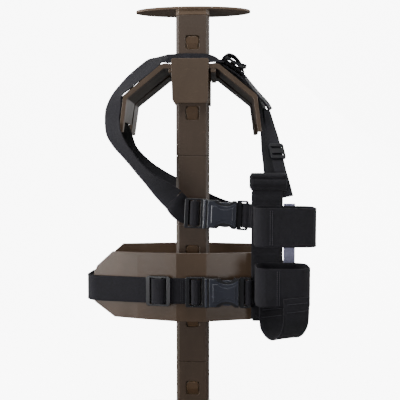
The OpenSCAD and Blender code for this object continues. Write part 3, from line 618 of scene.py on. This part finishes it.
def pad(name, lo, hi, mat, node, depth, rows, slot):
    """Sewn pad: crowned front between stitched channels, a rolled edge, back nearly flat."""
    lo, hi = np.array(lo) / MM, np.array(hi) / MM
    size = hi - lo
    nx, nz = 26, max(12, int(size[2] / 3.0))
    verts, uvs, faces = [], [], []
    for side in (0, 1):
        for i in range(nx + 1):
            for j in range(nz + 1):
                u, v = i / nx, j / nz
                ex, ez = min(u, 1 - u) * size[0], min(v, 1 - v) * size[2]
                edge = 1 - math.exp(-min(ex, ez) / 2.2)
                channel = 0.0
                for r in rows:
                    channel = max(channel, math.exp(-((v * size[2] - r) / 1.6) ** 2))
                wob = 0.25 * math.sin(u * 9 + v * 31) + 0.2 * math.sin(u * 23 - v * 17)
                if side == 0:
                    y = hi[1] - size[1] * (0.28 + 0.62 * edge * (1 - depth * channel)) - wob * 0.5 * edge
                else:
                    y = hi[1] - size[1] * 0.22 * (1 - edge)
                x, z = lo[0] + u * size[0], lo[2] + v * size[2]
                if ez < 4 and ex < 4:
                    x += 3.0 * (1 - edge) * (1 if u < 0.5 else -1)
                verts.append(np.array([x, y, z]) * MM)
                uvs.append((z * MM, x * MM))
    n1 = (nx + 1) * (nz + 1)

    def idx(s, i, j):
        return s * n1 + i * (nz + 1) + j

    for i in range(nx):
        for j in range(nz):
            faces.append((idx(0, i, j), idx(0, i + 1, j), idx(0, i + 1, j + 1), idx(0, i, j + 1)))
            faces.append((idx(1, i, j), idx(1, i, j + 1), idx(1, i + 1, j + 1), idx(1, i + 1, j)))
    for i in range(nx):
        for j in (0, nz):
            faces.append((idx(0, i, j), idx(1, i, j), idx(1, i + 1, j), idx(0, i + 1, j)))
    for j in range(nz):
        for i in (0, nx):
            faces.append((idx(0, i, j), idx(0, i, j + 1), idx(1, i, j + 1), idx(1, i, j)))
    o = build(name, verts, faces, mat, "stand", uvs, slot, [node])
    sub = o.modifiers.new("soften", "SUBSURF")
    sub.levels = sub.render_levels = 1
    return o


pad("holster_back_panel", plo, phi, M_PANEL, "holster_panel", 0.55,
    [12, 36, 60, 84, 108, 132, 156, 180, 204, 228, 244], "holster_fabric")
tlo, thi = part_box("holster_pad")
tlo.z -= 0.005
pad("holster_top_pad", tlo, thi, M_PANEL, "holster_pad", 0.7, [7, 22], "holster_fabric")


def loop(name, x0, x1, depth, z_top, height, node, seam):
    """Closed elastic band with round corners, sewn down its front."""
    y1 = PANEL_Y - LOOP_OFFSET
    y0 = y1 - depth
    x0, x1, y0, y1 = x0 + 1.5, x1 - 1.5, y0 + 1.5, y1 - 1.5
    r, pts = 20.5, []
    corners = [(x0 + r, y0 + r, 180), (x1 - r, y0 + r, 270), (x1 - r, y1 - r, 0), (x0 + r, y1 - r, 90)]
    for cx, cy, a0 in corners:
        for k in range(11):
            a = math.radians(a0 + 9 * k)
            pts.append(arr(cx + r * math.cos(a), cy + r * math.sin(a), z_top - height / 2))
    pts.append(pts[0])
    path = rounded(pts, 0.1, 1, step=5.0)[:-1]
    s = Strap(name, path, np.tile(-UP, (len(path), 1)), height, 2.6, M_ELASTIC, closed=True, crown=0.0,
              replaces=[node], slot="black_elastic", across=24, selvedge=0.15)
    ks = [i for i, p in enumerate(path) if p[1] < y0 + 2]
    d0 = s.s[ks[0]] + seam
    half = height / 2 - 4
    stitches(name + "_seam", s, [(d0, d0, -half, half), (d0 + 4, d0 + 4, -half, half)], side=-1, mat=M_THREAD_L)
    return s


loop("upper_elastic_loop", 117, 229, 80, 484, 70, "upper_loop", 12)
loop("lower_elastic_loop", 120, 219, 80, 376, 70, "lower_loop", 22)

glo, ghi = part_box("loop_tie")
gc = (glo + ghi) / 2 / MM
gpath = rounded([arr(gc.x, gc.y, glo.z / MM), arr(gc.x, gc.y - 0.3, gc.z), arr(gc.x, gc.y, ghi.z / MM)], 30, step=6)
grey = Strap("grey_back_tape", gpath, np.tile(arr(1, 0, 0), (len(gpath), 1)), 22, 2.6, M_GREY,
             replaces=["loop_tie"], slot="grey_webbing")
stitches("grey_tape_stitching", grey, [(8, grey.s[-1] - 8, 8, 8), (8, grey.s[-1] - 8, -8, -8)], mat=M_THREAD_L)

across = [0.9, 0.43, 0]
hy = PANEL_Y
stirrup_route = [[[153, hy - 20, 300], across], [[153, hy - 20, 274], across],
                 [[156, hy - 24, 254], across], [[168, hy - 46, 243], across],
                 [[180, hy - 70, 250], across], [[189, hy - 88, 272], across],
                 [[191, hy - 94, 300], across], [[191, hy - 94, 326], across]]
cup = Strap("stirrup_elastic", *spline(stirrup_route, 10), 53, 3, M_ELASTIC, replaces=["stirrup"],
            slot="black_elastic", crown=0.5, across=16)
for k in (10, 24):
    for sd in (1, -1):
        stitches("stirrup_seam_%d_%s" % (k, "a" if sd > 0 else "b"), cup,
                 [(k, k, -21, 21), (cup.s[-1] - k, cup.s[-1] - k, -21, 21)], side=sd, mat=M_THREAD_L)

# ---------- floor, backdrop, light ----------
# The camera sees the floor as white paper. Every other ray meets a dark grey floor, so little light comes
# back up to the object. The world below is split the same way.
n = Net("studio_white")
n.wire(n.mix(n.noise(3.0), (0.93, 0.93, 0.93, 1), (0.95, 0.95, 0.95, 1)), n.bsdf.inputs["Base Color"])
n.bsdf.inputs["Roughness"].default_value = 0.9
n.bsdf.inputs["Emission Color"].default_value = (1, 1, 1, 1)
n.bsdf.inputs["Emission Strength"].default_value = FLOOR_GLOW
dim = n.add("ShaderNodeBsdfDiffuse")
dim.inputs["Color"].default_value = (0.1, 0.1, 0.1, 1)
pick = n.add("ShaderNodeMixShader")
n.wire(n.add("ShaderNodeLightPath").outputs["Is Camera Ray"], pick.inputs[0])
n.wire(dim.outputs[0], pick.inputs[1])
n.wire(n.bsdf.outputs[0], pick.inputs[2])
n.wire(pick.outputs[0], n.t.nodes["Material Output"].inputs["Surface"])
prof = [(-3.0, 0.0), (1.2, 0.0)] + [(1.2 + 0.9 * math.sin(math.radians(a)), 0.9 - 0.9 * math.cos(math.radians(a)))
                                  for a in range(10, 91, 10)] + [(2.1, 4.0)]
sv, sf = [], []
for y, z in prof:
    sv += [(-4.0, y, z), (4.0, y, z)]
for i in range(len(prof) - 1):
    sf.append((2 * i, 2 * i + 1, 2 * i + 3, 2 * i + 2))
me = bpy.data.meshes.new("studio_floor")
me.from_pydata(sv, [], sf)
me.update()
floor = bpy.data.objects.new("studio_floor", me)
bpy.context.scene.collection.objects.link(floor)
me.materials.append(n.mat)
for p in me.polygons:
    p.use_smooth = True

world = bpy.data.worlds.new("studio")
bpy.context.scene.world = world
world.use_nodes = True
wt = world.node_tree
wt.nodes["Background"].inputs[0].default_value = (1, 1, 1, 1)
wt.nodes["Background"].inputs[1].default_value = SKY_FILL
paper = wt.nodes.new("ShaderNodeBackground")
paper.inputs[0].default_value = (1, 1, 1, 1)
paper.inputs[1].default_value = SKY_GLOW
both = wt.nodes.new("ShaderNodeMixShader")
wt.links.new(wt.nodes.new("ShaderNodeLightPath").outputs["Is Camera Ray"], both.inputs[0])
wt.links.new(wt.nodes["Background"].outputs[0], both.inputs[1])
wt.links.new(paper.outputs[0], both.inputs[2])
wt.links.new(both.outputs[0], wt.nodes["World Output"].inputs["Surface"])


def area(name, loc, target, size, power):
    """Soft box that the camera does not see."""
    d = bpy.data.lights.new(name, "AREA")
    d.shape, d.size, d.size_y, d.energy = "RECTANGLE", size[0], size[1], power
    o = bpy.data.objects.new(name, d)
    o.location = loc
    o.visible_camera = False
    o.rotation_euler = (Vector(target) - Vector(loc)).to_track_quat("-Z", "Y").to_euler()
    bpy.context.scene.collection.objects.link(o)


area("overhead", (0.0, -0.75, 1.75), (0, -0.05, 0.8), (0.8, 0.7), 15)
area("left_box", (-2.2, -0.35, 0.85), (0, 0, 0.42), (0.6, 1.3), 48)
area("right_box", (2.2, -0.45, 0.85), (0, 0, 0.42), (0.6, 1.3), 34)
area("left_front", (-1.78, -1.29, 0.25), (0, 0, 0.35), (0.8, 1.0), 46)
area("left_mid", (-0.96, -1.97, 0.2), (0, 0, 0.35), (0.4, 0.9), 7)
area("right_mid", (0.90, -2.0, 0.2), (0, 0, 0.35), (0.45, 0.9), 10)
area("rear_fill", (0.7, 1.9, 1.3), (0, 0, 0.5), (1.0, 1.0), 26)
area("backdrop", (0, 0.9, 2.6), (0, 2.0, 0.8), (2.6, 0.6), 40)
